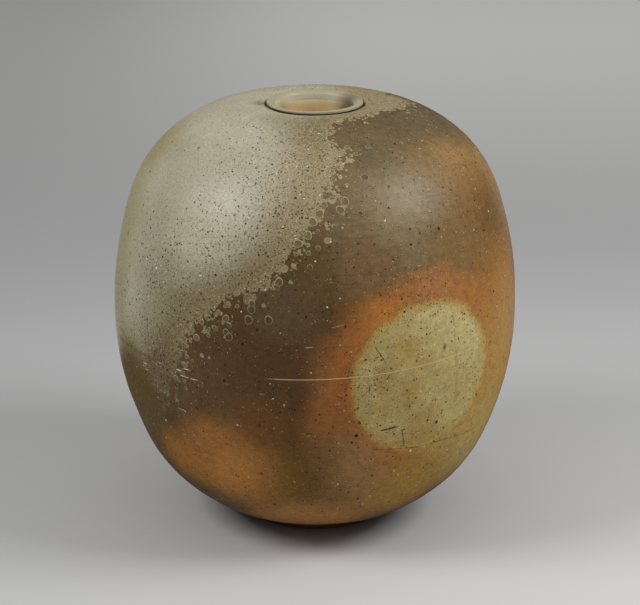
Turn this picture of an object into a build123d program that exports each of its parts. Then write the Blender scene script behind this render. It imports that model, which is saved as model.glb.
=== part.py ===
from build123d import *

import os
from math import acos, cos, degrees, hypot, radians, sin, sqrt

os.makedirs("parts", exist_ok=True)

# Wood-fired stoneware moon jar: two thrown bowls luted rim to rim at the belly, a thrown mouth ring
# luted into the shoulder, and melted wood ash on the side that faced the fire.
# Millimetres and degrees. The origin is on the table under the jar's axis, +Z is up and -Y is the front.

# Body
belly_radius = 150.0
belly_height = 163.5  # middle of the belly seam
shoulder_height = 315.5  # shoulder at the edge of the groove around the mouth
wall = 7.0

# Each bowl curves in from the upright belly along two tangent arcs, given by how far they turn
shoulder_split = 18.0  # turn of the flatter belly arc, before the rounder shoulder arc
shoulder_turn = 94.5  # turn at the groove: past level, so the shoulder dips towards the mouth
base_split = 24.0
base_turn = 75.0

# Foot, turned out of the lower bowl
foot_radius = 56.0  # where the foot meets the base
foot_height = 6.0
foot_taper = 2.0  # how far its outer face leans in at the table
foot_width = 10.0  # ring that rests on the table
foot_recess = 3.5
foot_edge = 1.2
floor_radius = 30.0  # flat floor inside

# Belly seam: a ridge on the upper rim sits in a groove in the lower rim, with slip between
seam_film = 0.8
seam_key = 2.0
seam_land = 1.4  # flat part of the rim on each side of the ridge
seam_bead = 3.0  # slip squeezed out on the inside

# Mouth
collar_radius = 35.0
collar_wall = 5.5
collar_length = 18.0
collar_film = 0.8
collar_bead = 4.0  # slip smoothed into the corner below the shoulder
collar_end_round = 2.0
lip_rise = 1.5  # lip above the shoulder
lip_outer_round = 2.4
lip_inner_round = 2.7
groove_width = 2.2
groove_depth = 2.2
groove_round = 1.2

# Ash that melted on the wall: a patch inside a ball centred on the wall, and drops outside its edge
ash_thickness = 0.6
ash_azimuth = -97.5  # from the front, negative to the left
ash_below = 40.0  # ball's centre below the shoulder
ash_past_mouth = 17.5  # how far the patch runs past the far side of the mouth
drop_radius = 3.2
drop_places = (  # how far below the ball's centre, and how far beyond the patch, is the middle of each drop
    (-13.5, 14.0),
    (-0.5, 13.0),
    (4.5, 13.5),
    (6.5, 5.5),
    (11.5, 5.0),
    (20.0, 6.5),
    (25.5, 4.5),
    (51.5, 7.0),
    (71.5, 4.0),
    (79.0, 6.5),
    (78.0, 15.0),
    (93.0, 4.5),
)

# Lip glaze
lip_glaze_thickness = 0.4
lip_glaze_outside = 2.0  # how far down it runs on the outside of the lip
lip_glaze_inside = 6.0


def two_arc_radii(across, along, split, turn):
    """Radii of two tangent arcs that start upright, change at the split angle and end at the turn angle."""
    first_across = 1 - cos(radians(split))
    first_along = sin(radians(split))
    second_across = cos(radians(split)) - cos(radians(turn))
    second_along = sin(radians(turn)) - sin(radians(split))
    scale = first_across * second_along - second_across * first_along
    first = (across * second_along - second_across * along) / scale
    second = (first_across * along - across * first_along) / scale
    return first, second


# Heights and radii that follow
rim_low = belly_height - seam_film / 2
rim_high = belly_height + seam_film / 2
groove_radius = collar_radius + groove_width
hole_radius = collar_radius + collar_film
throat_radius = collar_radius - collar_wall
lip_height = shoulder_height + lip_rise
collar_foot = lip_height - collar_length
ash_height = shoulder_height - ash_below
ash_top_radius = groove_radius + 2 * groove_round

shoulder_across = belly_radius - groove_radius
upper_belly_arc, shoulder_arc = two_arc_radii(
    shoulder_across, shoulder_height - rim_high, shoulder_split, shoulder_turn
)
base_across = belly_radius - foot_radius
lower_belly_arc, base_arc = two_arc_radii(base_across, rim_low - foot_height, base_split, base_turn)

upper_arc_step = upper_belly_arc - shoulder_arc
shoulder_centre_r = belly_radius - upper_belly_arc + upper_arc_step * cos(radians(shoulder_split))
shoulder_centre_z = rim_high + upper_arc_step * sin(radians(shoulder_split))
lower_arc_step = lower_belly_arc - base_arc
base_centre_r = belly_radius - lower_belly_arc + lower_arc_step * cos(radians(base_split))
base_centre_z = rim_low - lower_arc_step * sin(radians(base_split))


def turn_on_shoulder(radius, inset=0.0):
    """Turn of the shoulder arc, or of one inset from it, where it reaches a radius."""
    return degrees(acos((radius - shoulder_centre_r) / (shoulder_arc - inset)))


def turn_on_base(radius, inset=0.0):
    """Turn of the base arc, or of one inset from it, where it reaches a radius."""
    return degrees(acos((radius - base_centre_r) / (base_arc - inset)))


def upper_wall_line(inset, end_radius):
    """Draw the upper bowl's wall from the rim to a radius on the shoulder."""
    belly = JernArc((belly_radius - inset, rim_high), (0, 1), upper_belly_arc - inset, shoulder_split)
    rest_of_turn = turn_on_shoulder(end_radius, inset) - shoulder_split
    return JernArc(belly @ 1, belly % 1, shoulder_arc - inset, rest_of_turn)


def lower_wall_line(inset, end_radius):
    """Draw the lower bowl's wall from the rim down to a radius on the base."""
    belly = JernArc((belly_radius - inset, rim_low), (0, -1), lower_belly_arc - inset, -base_split)
    rest_of_turn = turn_on_base(end_radius, inset) - base_split
    return JernArc(belly @ 1, belly % 1, base_arc - inset, -rest_of_turn)


def keyed_rim(height):
    """Points across a rim, from the outer face to the inner face, with the seam's key in the middle."""
    middle = belly_radius - wall / 2
    key_half = wall / 2 - seam_land
    return [
        (belly_radius, height),
        (middle + key_half, height),
        (middle, height - seam_key),
        (middle - key_half, height),
        (belly_radius - wall, height),
    ]


def wall_radius(height):
    """Radius of the outer face at a height."""
    if height > rim_high + upper_belly_arc * sin(radians(shoulder_split)):
        return shoulder_centre_r + sqrt(shoulder_arc**2 - (height - shoulder_centre_z) ** 2)
    if height > rim_high:
        return belly_radius - upper_belly_arc + sqrt(upper_belly_arc**2 - (height - rim_high) ** 2)
    if height > rim_low - lower_belly_arc * sin(radians(base_split)):
        return belly_radius - lower_belly_arc + sqrt(lower_belly_arc**2 - (height - rim_low) ** 2)
    return base_centre_r + sqrt(base_arc**2 - (height - base_centre_z) ** 2)


def outward(azimuth, across, up):
    """Vector that points away from the axis at an azimuth from the front, and up."""
    return Vector(across * sin(radians(azimuth)), -across * cos(radians(azimuth)), up)


def wall_point(azimuth, height):
    """Point on the outer face."""
    return outward(azimuth, wall_radius(height), height)


def wall_normal(azimuth, height):
    """Outward normal of the outer face."""
    if height > rim_high + upper_belly_arc * sin(radians(shoulder_split)):
        rise = (height - shoulder_centre_z) / shoulder_arc
    elif height > rim_high:
        rise = (height - rim_high) / upper_belly_arc
    elif height > rim_low - lower_belly_arc * sin(radians(base_split)):
        rise = (height - rim_low) / lower_belly_arc
    else:
        rise = (height - base_centre_z) / base_arc
    return outward(azimuth, sqrt(1 - rise**2), rise)


# Lower bowl: wall, keyed rim, flat floor and turned foot
with BuildPart() as lower_bowl:
    with BuildSketch(Plane.XZ) as lower_section:
        with BuildLine():
            outside = lower_wall_line(0, foot_radius)
            inside = lower_wall_line(wall, floor_radius)
            foot_outer = foot_radius - foot_taper
            foot_inner = foot_outer - foot_width
            Polyline(
                outside @ 1,
                (foot_outer, 0),
                (foot_inner, 0),
                (foot_inner - foot_taper, foot_recess),
                (0, foot_recess),
                (0, (inside @ 1).Y),
                inside @ 1,
            )
            Polyline(*keyed_rim(rim_low))
        make_face()
        fillet(lower_section.vertices().group_by(Axis.Y)[0], foot_edge)
    revolve(axis=Axis.Z)
lower_bowl.part.label = "lower_bowl"
export_step(lower_bowl.part, "parts/lower_bowl.step")

# Upper bowl: wall, keyed rim and the hole for the collar, with a groove around it
with BuildPart() as upper_bowl:
    with BuildSketch(Plane.XZ) as upper_section:
        with BuildLine():
            outside = upper_wall_line(0, groove_radius)
            inside = upper_wall_line(wall, hole_radius)
            Polyline(outside @ 1, (hole_radius, shoulder_height - groove_depth), inside @ 1)
            Polyline(*keyed_rim(rim_high))
        make_face()
        groove_edge = upper_section.vertices().sort_by_distance((groove_radius, shoulder_height))[0]
        fillet(groove_edge, groove_round)
    revolve(axis=Axis.Z)
    hole_top = (inside @ 1).Y
upper_bowl.part.label = "upper_bowl"
export_step(upper_bowl.part, "parts/upper_bowl.step")

# Mouth collar: short thrown ring with a rolled lip, open through the middle
with BuildPart() as mouth_collar:
    with BuildSketch(Plane.XZ) as collar_section:
        with Locations((throat_radius, collar_foot)):
            Rectangle(collar_wall, collar_length, align=(Align.MIN, Align.MIN))
        lip_corners = collar_section.vertices().group_by(Axis.Y)[-1].sort_by(Axis.X)
        end_corners = collar_section.vertices().group_by(Axis.Y)[0]
        fillet(lip_corners[0], min(lip_inner_round, 0.5 * collar_wall))
        fillet(lip_corners[1], min(lip_outer_round, 0.45 * collar_wall))
        fillet(end_corners, min(collar_end_round, 0.4 * collar_wall))
    revolve(axis=Axis.Z)
mouth_collar.part.label = "mouth_collar"
export_step(mouth_collar.part, "parts/mouth_collar.step")

# Belly slip: film between the two rims and a rounded bead inside
with BuildPart() as belly_slip:
    with BuildSketch(Plane.XZ):
        with BuildLine():
            Polyline(*keyed_rim(rim_low), *reversed(keyed_rim(rim_high)), close=True)
        make_face()
        with Locations((belly_radius - wall, belly_height)):
            Circle(seam_bead)
        add(lower_section.sketch_local, mode=Mode.SUBTRACT)
        add(upper_section.sketch_local, mode=Mode.SUBTRACT)
    revolve(axis=Axis.Z)
belly_slip.part.label = "belly_slip"
export_step(belly_slip.part, "parts/belly_slip.step")

# Collar slip: film in the hole and a bead in the corner below the shoulder
with BuildPart() as collar_slip:
    film_top = shoulder_height - groove_depth
    with BuildSketch(Plane.XZ):
        with Locations((hole_radius, hole_top)):
            Circle(collar_bead)
        with Locations((collar_radius, hole_top)):
            Rectangle(2 * collar_bead, 2 * collar_bead, align=(Align.MAX, Align.CENTER), mode=Mode.SUBTRACT)
            Rectangle(collar_film, film_top - hole_top, align=Align.MIN)
        with Locations((hole_radius, film_top)):
            Rectangle(2 * collar_bead, collar_bead, align=(Align.CENTER, Align.MIN), mode=Mode.SUBTRACT)
        add(upper_section.sketch_local, mode=Mode.SUBTRACT)
    revolve(axis=Axis.Z)
collar_slip.part.label = "collar_slip"
export_step(collar_slip.part, "parts/collar_slip.step")

# Ash glaze: an even skin over the outside, kept where it lies inside the ball
ash_centre = wall_point(ash_azimuth, ash_height)
ash_centre_radius = wall_radius(ash_height)
ash_reach = hypot(ash_centre_radius + ash_top_radius, ash_below) + ash_past_mouth
with BuildPart() as ash_glaze:
    with BuildSketch(Plane.XZ):
        with BuildLine():
            lower_face = lower_wall_line(0, foot_radius)
            lower_skin = lower_wall_line(-ash_thickness, foot_radius)
            upper_face = upper_wall_line(0, ash_top_radius)
            upper_skin = upper_wall_line(-ash_thickness, ash_top_radius)
            Line(lower_face @ 1, lower_skin @ 1)
            Line(upper_face @ 1, upper_skin @ 1)
            Line((belly_radius, rim_low), (belly_radius, rim_high))
            Line((belly_radius + ash_thickness, rim_low), (belly_radius + ash_thickness, rim_high))
        make_face()
    revolve(axis=Axis.Z)
    with Locations(ash_centre):
        Sphere(ash_reach, mode=Mode.INTERSECT)
ash_glaze.part.label = "ash_glaze"
export_step(ash_glaze.part, "parts/ash_glaze.step")

# Lip glaze: even skin over the lip, longer down the throat than outside
with BuildPart() as lip_glaze:
    with BuildSketch(Plane.XZ):
        add(collar_section.sketch_local)
        offset(amount=lip_glaze_thickness)
        add(collar_section.sketch_local, mode=Mode.SUBTRACT)
        wall_middle = throat_radius + collar_wall / 2
        with Locations((wall_middle, lip_height - lip_glaze_outside)):
            Rectangle(collar_wall, collar_length, align=(Align.MIN, Align.MAX), mode=Mode.SUBTRACT)
        with Locations((wall_middle, lip_height - lip_glaze_inside)):
            Rectangle(collar_wall, collar_length, align=(Align.MAX, Align.MAX), mode=Mode.SUBTRACT)
    revolve(axis=Axis.Z)
lip_glaze.part.label = "lip_glaze"
export_step(lip_glaze.part, "parts/lip_glaze.step")

# Ash drops: low domes on the wall along the front edge of the ash patch, and mirrored along its back edge
dome_radius = (drop_radius**2 + ash_thickness**2) / (2 * ash_thickness)
for edge, side in {"front": 1, "back": -1}.items():
    for index, (below, beyond) in enumerate(drop_places):
        height = ash_height - below
        level_distance = sqrt((ash_reach + beyond) ** 2 - below**2)
        radius = wall_radius(height)
        swing_cosine = (radius**2 + ash_centre_radius**2 - level_distance**2) / (2 * radius * ash_centre_radius)
        azimuth = ash_azimuth + side * degrees(acos(swing_cosine))
        seat = Plane(wall_point(azimuth, height), z_dir=wall_normal(azimuth, height))
        with BuildPart() as ash_drop:
            with Locations(seat.offset(ash_thickness - dome_radius)):
                Sphere(dome_radius)
            split(bisect_by=seat, keep=Keep.TOP)
        name = f"ash_drop_{edge}_{index + 1}"
        ash_drop.part.label = name
        export_step(ash_drop.part, f"parts/{name}.step")
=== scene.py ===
# %% [markdown]
# A wood-fired moon jar. Two thrown bowls are joined rim to rim, a collar makes the mouth, and the kiln does
# the decorating: flying ash melts into a glaze on one side and the flame colours the bare clay.
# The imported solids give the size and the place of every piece. Here each of them gets its hand-made skin.

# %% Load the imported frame
import math
import random

import bmesh
import bpy
import numpy as np
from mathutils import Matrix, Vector, noise


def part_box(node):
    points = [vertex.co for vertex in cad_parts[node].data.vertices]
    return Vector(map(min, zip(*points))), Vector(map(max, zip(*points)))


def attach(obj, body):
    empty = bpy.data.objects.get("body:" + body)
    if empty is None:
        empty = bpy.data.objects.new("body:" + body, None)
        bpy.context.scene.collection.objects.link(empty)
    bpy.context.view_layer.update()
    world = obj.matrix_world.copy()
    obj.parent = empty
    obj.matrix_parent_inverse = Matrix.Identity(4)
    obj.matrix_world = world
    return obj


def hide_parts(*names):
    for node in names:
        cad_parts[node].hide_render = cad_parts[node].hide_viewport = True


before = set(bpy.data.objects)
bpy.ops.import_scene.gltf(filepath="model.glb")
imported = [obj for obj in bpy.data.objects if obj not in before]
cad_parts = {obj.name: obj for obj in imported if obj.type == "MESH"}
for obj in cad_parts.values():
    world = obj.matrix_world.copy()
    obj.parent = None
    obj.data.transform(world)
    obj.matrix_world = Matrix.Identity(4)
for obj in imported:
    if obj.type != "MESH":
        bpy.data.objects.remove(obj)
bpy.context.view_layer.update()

MM = 0.001  # the frame is in metres, and the sizes below are in millimetres
print(f"{len(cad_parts)} solids in the frame")

# %% [markdown]
# The camera stands where the photographer stood: well back and higher than the jar, looking down at its
# belly. A long lens from far away keeps the jar's outline close to a drawing of it, so the distance was
# settled first and the lens was then made to fit the jar's width in the picture.

# %% Camera
camera_distance = 1.7  # metres, as are the next two
camera_height = 0.736
camera_sideways = 0.0037
camera_pitch = 18.67  # degrees below level
camera_lens = 134.2  # mm
camera_sensor = 36  # mm

camera_data = bpy.data.cameras.new("photo_camera")
camera_data.sensor_width = camera_sensor
camera_data.lens = camera_lens
camera = bpy.data.objects.new("photo_camera", camera_data)
camera.location = (camera_sideways, -camera_distance, camera_height)
camera.rotation_euler = (math.radians(90 - camera_pitch), 0, 0)
bpy.context.scene.collection.objects.link(camera)
bpy.context.scene.camera = camera
print(f"camera {camera_distance} m away, {camera_lens} mm lens")

# %% [markdown]
# A turned piece is known by its half-section, the line a template would follow. It could be typed in again,
# but the solid already has it: every turned solid has a seam in the plane y = 0. Walking along the edges
# of that seam gives the section in order, and a smooth curve through its points takes out the facets.

# %% Half-sections of the turned solids
corner_angle = math.radians(25)  # a sharper turn than this stays a corner
on_plane = 1e-7  # metres from y = 0 within which a vertex belongs to the seam
much_longer = 3.0  # an edge that many times as long as the next one gives the direction between them


def half_section(name):
    """The section of a turned solid at y = 0, as (radius, height) in mm in order, and whether it closes."""
    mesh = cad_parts[name].data
    spots = {}
    for vertex in mesh.vertices:
        if abs(vertex.co.y) < on_plane and vertex.co.x > -on_plane:
            spots[vertex.index] = (round(vertex.co.x / MM, 3), round(vertex.co.z / MM, 3))
    beside = {}
    for edge in mesh.edges:
        one, other = (spots.get(index) for index in edge.vertices)
        if one and other and one != other:
            beside.setdefault(one, set()).add(other)
            beside.setdefault(other, set()).add(one)
    ends = sorted(spot for spot in beside if len(beside[spot]) == 1)
    walked = [ends[0] if ends else min(beside)]
    while len(walked) < len(beside):
        walked.append(min(spot for spot in beside[walked[-1]] if spot not in walked))
    if ends:  # a flat disc lies across the axis at both ends
        walked = [(0.0, walked[0][1])] + walked + [(0.0, walked[-1][1])]
    return np.array(walked), not ends


def smooth_run(run, step):
    """Points on a smooth curve through a run of points, no further apart than step, with every point kept."""
    along = np.r_[0, np.cumsum(np.linalg.norm(np.diff(run, axis=0), axis=1))]
    gaps = zip(along, along[1:])
    places = [np.linspace(start, end, math.ceil((end - start) / step), endpoint=False) for start, end in gaps]
    places = np.r_[np.concatenate(places), along[-1]]
    if len(run) < 3:
        return np.c_[np.interp(places, along, run[:, 0]), np.interp(places, along, run[:, 1])]
    slope = np.gradient(run, along, axis=0, edge_order=2)
    length = np.diff(along)
    heading = np.diff(run, axis=0) / length[:, None]
    for i in range(1, len(run) - 1):  # where a small round meets a long line, the line gives the direction
        if max(length[i - 1 : i + 1]) > much_longer * min(length[i - 1 : i + 1]):
            slope[i] = heading[i - 1 + np.argmax(length[i - 1 : i + 1])]
    left = np.clip(np.searchsorted(along, places, "right") - 1, 0, len(along) - 2)
    gap = (along[left + 1] - along[left])[:, None]
    u = (places - along[left])[:, None] / gap
    return (
        (1 + 2 * u) * (1 - u) ** 2 * run[left]
        + u * (1 - u) ** 2 * gap * slope[left]
        + u**2 * (3 - 2 * u) * run[left + 1]
        + u**2 * (u - 1) * gap * slope[left + 1]
    )


def smooth_section(name, step):
    """The half-section with smooth curves between its corners, and whether it closes."""
    points, closed = half_section(name)
    heading = np.roll(points, -1, axis=0) - points
    heading = heading[:, 0] + 1j * heading[:, 1]
    turn = np.abs(np.angle(heading / np.roll(heading, 1)))
    corners = list(np.flatnonzero(turn > corner_angle))
    if closed:
        points = np.roll(points, -corners[0], axis=0)
        points = np.r_[points, points[:1]]
        corners = [corner - corners[0] for corner in corners] + [len(points) - 1]
    else:
        corners = sorted({0, len(points) - 1, *corners})
    runs = [smooth_run(points[start : end + 1], step)[:-1] for start, end in zip(corners, corners[1:])]
    line = np.concatenate(runs)
    return (line, True) if closed else (np.r_[line, points[-1:]], False)


section_step = 2.0  # mm between the points of a bowl's section
bowls = {name: smooth_section(name, section_step) for name in ("lower_bowl", "upper_bowl")}
for name, (line, _) in bowls.items():
    print(name, len(line), "points round its section")

# %% [markdown]
# The outer wall of both bowls is one line from foot to mouth. The ash, the drops and every mark of the
# flame are placed on it by two numbers that can be judged by eye: how far round from the front, in degrees,
# and how high, in millimetres.

# %% The outer wall and places on it
core_low, core_high = 115.0, 220.0  # mm, the wall faces level between these heights
faces_out = 0.8  # cosine down to which a point of a section counts as turned outwards
belly_band = 1.0  # mm, points this near to the greatest radius are on the outside
foot_top = 8.0  # mm, the wall begins above the foot


def facing(points):
    """Unit directions from the jar's core to points in mm, and each point's distance along the wall."""
    core = np.zeros_like(points)
    core[..., -1] = np.clip(points[..., -1], core_low, core_high)
    out = points - core
    length = np.linalg.norm(out, axis=-1, keepdims=True)
    level = np.linalg.norm(out[..., :-1], axis=-1)
    rise = np.arctan2(out[..., -1], level)
    return out / np.maximum(length, 1e-6), core[..., -1] + length[..., 0] * rise


def outer_wall():
    """The (radius, height) line of the outside, from the foot to the groove round the mouth."""
    kept = []
    for line, _ in bowls.values():
        slope = np.gradient(line, axis=0)
        normal = np.c_[slope[:, 1], -slope[:, 0]]
        normal /= np.linalg.norm(normal, axis=1, keepdims=True)
        turned_out = np.sum(normal * facing(line)[0], axis=1)
        if np.mean(turned_out[line[:, 0] > line[:, 0].max() - belly_band]) < 0:
            turned_out = -turned_out
        kept.append(line[(turned_out > faces_out) & (line[:, 1] > foot_top)])
    kept = np.concatenate(kept)
    return kept[np.argsort(facing(kept)[1])]


wall = outer_wall()
wall_along = facing(wall)[1]
wall_normal = np.gradient(wall, wall_along, axis=0)
wall_normal = np.c_[wall_normal[:, 1], -wall_normal[:, 0]]
wall_normal /= np.linalg.norm(wall_normal, axis=1, keepdims=True)


def on_wall(azimuth, height):
    """The point in mm on the outside, azimuth degrees to the right of the front, height mm up."""
    radius = np.interp(height, wall[:, 1], wall[:, 0])
    angle = math.radians(azimuth)
    return Vector((radius * math.sin(angle), -radius * math.cos(angle), height))


print(f"outer wall: {wall[:, 0].max():.1f} mm from the axis at the belly, up to {wall[:, 1].max():.1f} mm")

# %% [markdown]
# No hand-thrown wall is a perfect surface of turning. The clay is pushed a little out of round when the
# bowls are joined, the fingers leave a slow spiral, and the surface sags and swells by a few tenths of a
# millimetre. A displacement texture could fake this, but real vertices also change the outline. All pieces
# are moved by the same field, so what fits in the frame still fits here.

# %% Relief of the thrown wall
out_of_round = 0.35  # mm, as are the depths, spacings and sizes below
oval_turn = 0.8  # radians
three_sided, lobe_twist = 0.5, 60.0  # share of a three-sided swing, which turns by a radian in so many mm
ring_depth, ring_evenness = 0.05, 0.6
ring_spacing = 8.5
swell_depth, swell_size = 0.35, 45.0
dent_depth, dent_size = 0.10, 13.0
foot_fade = 14.0  # the relief dies out below this height


def hand_relief(points):
    """Points in mm, moved along the wall's facing by what the thrower's hands left."""
    direction, along = facing(points)
    around = np.arctan2(points[..., 0], -points[..., 1])
    spiral = along / ring_spacing + around / (2 * math.pi)
    oval = np.sin(2 * around + oval_turn)
    lobes = np.sin(3 * around + along / lobe_twist)
    relief = out_of_round * (oval + three_sided * lobes) / (1 + three_sided)
    flat = points.reshape(-1, 3)
    swell = np.array([noise.noise(Vector(p) / swell_size) for p in flat]).reshape(along.shape)
    dents = np.array([noise.noise(Vector(p) / dent_size) for p in flat]).reshape(along.shape)
    relief += ring_depth * np.sin(2 * math.pi * spiral) * (ring_evenness + swell)
    relief += swell_depth * swell + dent_depth * dents
    relief *= np.clip(points[..., 2] / foot_fade, 0, 1) ** 2
    return points + direction * relief[..., None]


print(f"relief up to about {out_of_round + ring_depth + swell_depth:.1f} mm")

# %% [markdown]
# Turning: the section is swept round the axis, as on the wheel. Blender's Screw modifier or a spin would do
# it, but a mesh made from rings lets the relief move each vertex while it is being made.

# %% Turn the bowls, the collar, their slip and the glaze on the lip
columns = 360  # points round a ring
sharp_edge = math.radians(40)


def add_piece(name, vertices, faces, slot, *nodes):
    """A closed mesh piece in mm that rides on the jar and stands for the nodes. The slot is not used."""
    mesh = bpy.data.meshes.new(name)
    mesh.from_pydata([tuple(v) for v in np.asarray(vertices) * MM], [], faces)
    work = bmesh.new()
    work.from_mesh(mesh)
    bmesh.ops.recalc_face_normals(work, faces=work.faces)
    work.to_mesh(mesh)
    work.free()
    mesh.shade_smooth()
    mesh.set_sharp_from_angle(angle=sharp_edge)
    piece = bpy.data.objects.new(name, mesh)
    bpy.context.scene.collection.objects.link(piece)
    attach(piece, "root")
    if nodes:
        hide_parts(*nodes)
    return piece


def turn(name, step, slot):
    """A turned solid made again from its half-section, with the relief of the hands."""
    line, closed = smooth_section(name, step)
    angles = np.linspace(0, 2 * math.pi, columns, endpoint=False)
    rings, vertices = [], []
    for radius, height in line:
        count = columns if radius > 0 else 1
        first = len(vertices)
        vertices += [(radius * math.sin(a), -radius * math.cos(a), height) for a in angles[:count]]
        rings.append([first + i % count for i in range(columns)])
    faces = []
    for lower, upper in zip(rings, rings[1:] + rings[:1] if closed else rings[1:]):
        for i in range(columns):
            corners = (lower[i - 1], lower[i], upper[i], upper[i - 1])
            faces.append(tuple(dict.fromkeys(corners)))
    return add_piece(name + "_thrown", hand_relief(np.array(vertices)), faces, slot, name)


small_step, lip_step = 1.0, 0.5  # mm between the points of the smaller sections
film_fade, film_thinned = 3.0, 0.34  # mm: the glaze thins over this height in the throat, by this much
throat_wall = 29.3  # mm, only what lies nearer to the axis is thinned

thrown = [turn(name, section_step, "stoneware") for name in ("lower_bowl", "upper_bowl")]
thrown += [turn("mouth_collar", small_step, "stoneware")]
thrown += [turn(name, small_step, "slip") for name in ("belly_slip", "collar_slip")]
lip_glaze = turn("lip_glaze", lip_step, "ash_glaze")
film_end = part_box("lip_glaze")[0].z
for vertex in lip_glaze.data.vertices:  # inside the throat the glaze runs out to a thin edge
    out = Vector((vertex.co.x, vertex.co.y, 0))
    fade = 1 - (vertex.co.z - film_end) / (film_fade * MM)
    if fade > 0 and out.length < throat_wall * MM:
        vertex.co += out.normalized() * fade * film_thinned * MM
for piece in thrown + [lip_glaze]:
    print(piece.name, len(piece.data.polygons), "faces")

# %% [markdown]
# The ash glaze is a thin skin that lies over both bowls on the side that faced the fire. It reaches as far
# as a ball round the place where most ash fell, swings in and out along its edge where the melt ran, and
# thins to nothing there. It could be painted on, but the real one can be felt, so it is a closed film with
# its own thickness.

# %% Ash glaze skin
ash_azimuth, ash_height = -97.5, 275.5  # degrees and mm, where most ash fell
ash_reach = 185.5  # mm, as are the sizes below
ash_swing, ash_swing_length, ash_swing_crest = 10.5, 150.0, 261.0
ash_thickness = 0.5
ash_thinning = 16.0  # the film thins over this width at its edge
ash_sunk = 0.12  # how far its underside is bedded in the clay
ash_dip = 0.05  # its upper face is lowered by this, and so dips into the clay at the edge
ash_margin = 2.0  # its mesh goes on this far past the edge
ash_lump_depth, ash_lump_size = 0.03, 6.0
mouth_clear = 40.0  # the film stops at the groove round the mouth
ash_centre = on_wall(ash_azimuth, ash_height)


def ash_gap(points):
    """How far points in mm lie outside the edge of the ash, negative under it."""
    swing = ash_swing * np.cos((points[..., 2] - ash_swing_crest) * 2 * math.pi / ash_swing_length)
    return np.linalg.norm(points - np.array(ash_centre), axis=-1) - ash_reach - swing


def wall_grid(line):
    """A grid of points in mm, one row for each (radius, height) of a line."""
    angles = np.linspace(0, 2 * math.pi, columns, endpoint=False)
    level = np.stack([np.sin(angles), -np.cos(angles)], axis=1)
    return np.concatenate(
        [line[:, None, :1] * level[None], np.repeat(line[:, None, 1:], columns, axis=1)], axis=2
    )


def ash_skin():
    """The film's vertices and faces: an upper face, an underside and a rim between them."""
    grid = wall_grid(wall[wall[:, 0] > mouth_clear])
    gap = ash_gap(grid)
    lumps = np.array([noise.noise(Vector(p) / ash_lump_size) for p in grid.reshape(-1, 3)])
    lumps = lumps.reshape(gap.shape)
    depth = np.clip(-gap / ash_thinning, 0, 1)
    lift = ash_thickness * depth * depth * (3 - 2 * depth) + ash_lump_depth * lumps * depth - ash_dip
    grid = hand_relief(grid)
    direction = facing(grid)[0]
    top = grid + direction * lift[..., None]
    under = grid - direction * ash_sunk
    rows = len(grid)
    covered = gap < ash_margin
    number, vertices, faces = {}, [], []

    def vertex(side, row, column):
        key = (side, row, column % columns)
        if key not in number:
            number[key] = len(vertices)
            vertices.append((top if side else under)[row, column % columns])
        return number[key]

    whole = covered[:-1] & covered[1:]
    whole = whole & np.roll(whole, -1, axis=1)
    for row, column in np.argwhere(whole):
        ring = [(row, column), (row, column + 1), (row + 1, column + 1), (row + 1, column)]
        faces.append([vertex(1, *corner) for corner in ring])
        faces.append([vertex(0, *corner) for corner in reversed(ring)])
        beside = [(row - 1, column), (row, column + 1), (row + 1, column), (row, column - 1)]
        for side, (r, c) in enumerate(beside):
            if not (0 <= r < rows - 1 and whole[r, c % columns]):
                a, b = ring[side], ring[(side + 1) % 4]
                faces.append([vertex(1, *b), vertex(1, *a), vertex(0, *a), vertex(0, *b)])
    return vertices, faces


ash_glaze = add_piece("ash_glaze_skin", *ash_skin(), "ash_glaze", "ash_glaze")
print("ash skin", len(ash_glaze.data.polygons), "faces")

# %% [markdown]
# Just outside the edge, single drops of melted ash landed on the clay. Each dried as a low dome with a
# raised ring, like a coffee stain. The solids give the place of the larger ones, a short list gives those
# that stand out at the edge, and smaller ones are scattered between them. Spheres would look like beads, so a
# drop is turned from its own little section.

# %% Ash drops
# a section goes from the rim inwards, in shares of the radius and of the height
drop_section = ((1.0, -0.25), (0.97, 0.25), (0.86, 0.75), (0.72, 0.8), (0.5, 0.5), (0.25, 0.42), (0.0, 0.4))
drop_height = 0.32  # mm
drop_sides, drop_wobble = 18, 0.06
small_drops = 70
small_radii, small_shrink = (0.7, 2.9), 60  # mm, and mm beyond the edge at which nothing would be left
scatter_azimuths, scatter_heights = (-230, 40), (105, 300)  # degrees and mm
scatter_inside, scatter_outside = -7, 26  # mm beyond the edge
scatter_crest, scatter_fade = 1, 7  # mm, most lie this far beyond the edge, and fewer over the second
near_reach = 14  # mm beyond the edge over which a drop loses the colour of the ash
seen_drops = (  # azimuth and height, and radius
    ((10, 309), 2.6), ((14.6, 305), 2.2), ((17.4, 301.5), 1.8), ((24, 304.4), 1.7), ((-3.4, 256.8), 2.6),
    ((-10.4, 221), 2.2), ((-17.2, 208.2), 2.4), ((-21.4, 204.9), 1.6), ((-24.6, 195.3), 2.8),
    ((-24.4, 185.6), 2.6), ((-29.7, 185.6), 1.5), ((-29.7, 180.9), 1.6), ((-33.6, 177.7), 2.7),
    ((-36.9, 161.8), 1.8), ((-37.7, 155), 2.2),
)
drops_random = random.Random(7)


def wall_frame(azimuth, height):
    """The point on the outside and the directions out, level and up the wall there."""
    point = np.array(on_wall(azimuth, height))
    out, rise = (np.interp(height, wall[:, 1], wall_normal[:, i]) for i in (0, 1))
    angle = math.radians(azimuth)
    level = np.array((math.cos(angle), math.sin(angle), 0))
    normal = np.array((out * math.sin(angle), -out * math.cos(angle), rise))
    normal /= np.linalg.norm(normal)
    return hand_relief(point[None])[0], normal, level, np.cross(normal, level)


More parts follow.
